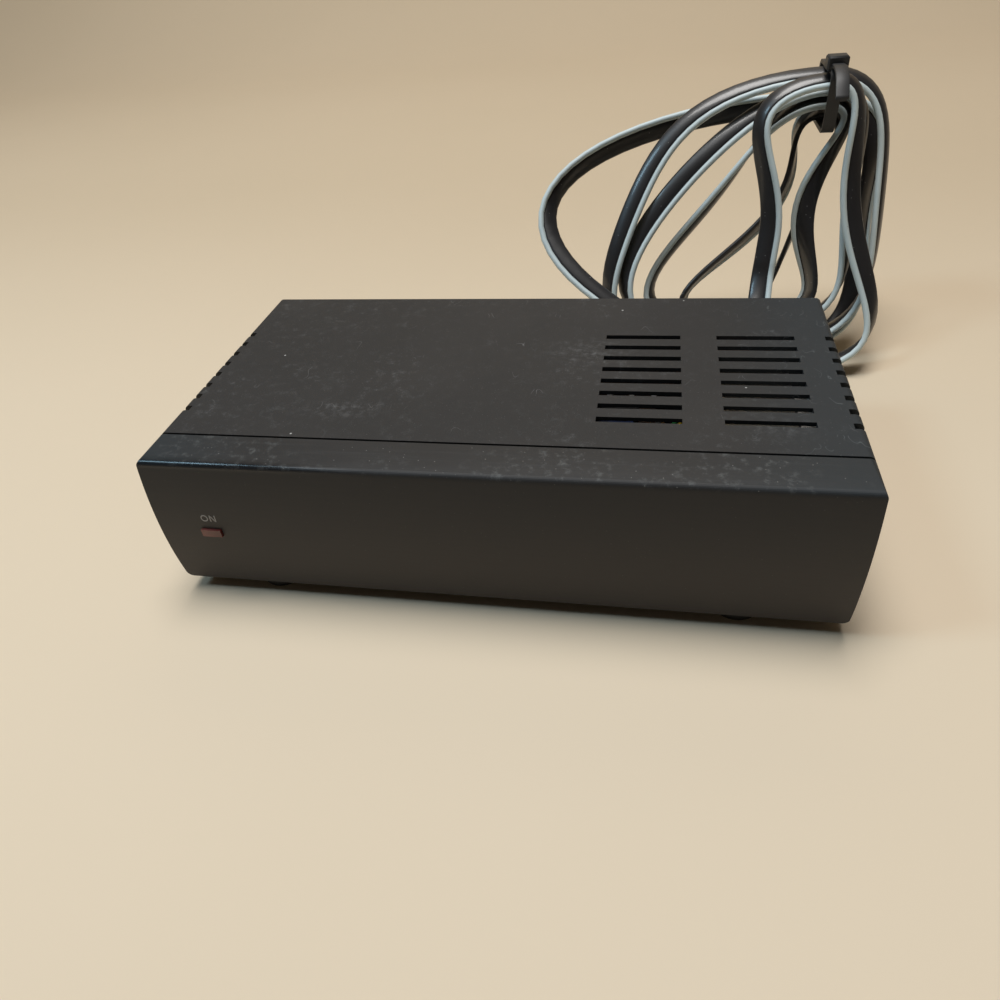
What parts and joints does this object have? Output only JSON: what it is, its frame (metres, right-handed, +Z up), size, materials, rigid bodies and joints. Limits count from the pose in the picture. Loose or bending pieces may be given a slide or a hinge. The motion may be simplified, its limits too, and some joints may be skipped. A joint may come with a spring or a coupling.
{
  "type": "rf modulator",
  "caption": "Low dark steel box with a moulded front panel, power lamp, vents, rear aerial and phono sockets, a channel switch and a tied flat mains lead.",
  "frame": {"origin": "on the table, under the middle of the case with its sockets and lamp, without the cord", "axes": "+X to the right seen from the front, +Y to the rear, +Z up"},
  "size_m": [0.1902, 0.1655, 0.0875],
  "materials": {
    "cover_paint": "matt dark charcoal-brown fine texture",
    "black_screw": "black oxide",
    "panel_plastic": "matt dark warm grey moulding",
    "bare_steel": "zinc-plated sheet",
    "rubber": "black rubber",
    "zinc": "zinc-plated",
    "lamp_red": "clear red diffused epoxy",
    "black_plastic": "black moulding",
    "tinned_wire": "tinned copper",
    "board": "brown phenolic board",
    "brass": "bright",
    "tinplate": "tinplate",
    "copper": "enamelled copper",
    "nickel": "nickel-plated",
    "white_plastic": "natural white",
    "yellow_plastic": "yellow",
    "red_plastic": "red",
    "brown_plastic": "brown phenolic",
    "core_steel": "varnished silicon steel",
    "blue_sleeve": "dark blue shrink sleeve",
    "aluminium": "extruded",
    "glass": "clear tube with nickel caps",
    "wire_sheath": "soft PVC",
    "resistor_body": "lacquer",
    "ceramic": "orange dipped",
    "cord_sheath": "satin black flexible PVC with one pale edge"
  },
  "bodies": {
    "case": {"top_cover": "cover_paint", "base_tray": "bare_steel", "front_panel": "panel_plastic", "feet": "rubber", "cover_screws": "black_screw", "panel_screws": "zinc", "power_lamp": "lamp_red", "lamp_clip": "black_plastic", "lamp_leads": "tinned_wire", "circuit_board": "board", "board_pillars": "brass", "board_screws": "zinc", "shield_can": "tinplate", "shield_lid": "tinplate", "radio_coils": "copper", "aerial_socket": "nickel", "tv_socket": "nickel", "socket_insulators": "white_plastic", "socket_nuts": "nickel", "socket_washers": "zinc", "jack_block": "black_plastic", "jack_shells": "nickel", "video_insulator": "yellow_plastic", "left_sound_insulator": "white_plastic", "right_sound_insulator": "red_plastic", "jack_sleeves": "brass", "switch_frame": "tinplate", "switch_base": "brown_plastic", "switch_screws": "zinc", "transformer_core": "core_steel", "transformer_bobbin": "white_plastic", "transformer_windings": "copper", "transformer_strap": "zinc", "transformer_screws": "zinc", "filter_capacitors": "blue_sleeve", "heat_sink": "aluminium", "voltage_regulator": "black_plastic", "regulator_screw": "zinc", "rectifier_diodes": "black_plastic", "glass_fuse": "glass", "fuse_clips": "tinplate", "mains_wires": "wire_sheath", "winding_wires": "wire_sheath", "modulator_chip": "black_plastic", "quartz_crystal": "nickel", "resistors": "resistor_body", "ceramic_capacitors": "ceramic", "transistors": "black_plastic", "strain_relief": "black_plastic", "cord_lead": "cord_sheath", "cord_hank": "cord_sheath", "cord_tail": "cord_sheath", "cable_tie": "black_plastic", "plug_body": "black_plastic", "plug_blades": "brass"},
    "channel_slider": {"switch_knob": "black_plastic"}
  },
  "joints": [
    {"name": "channel_switch", "type": "slide", "parent": "case", "child": "channel_slider", "axis": [1, 0, 0], "range_m": [0, 0.003]}
  ]
}
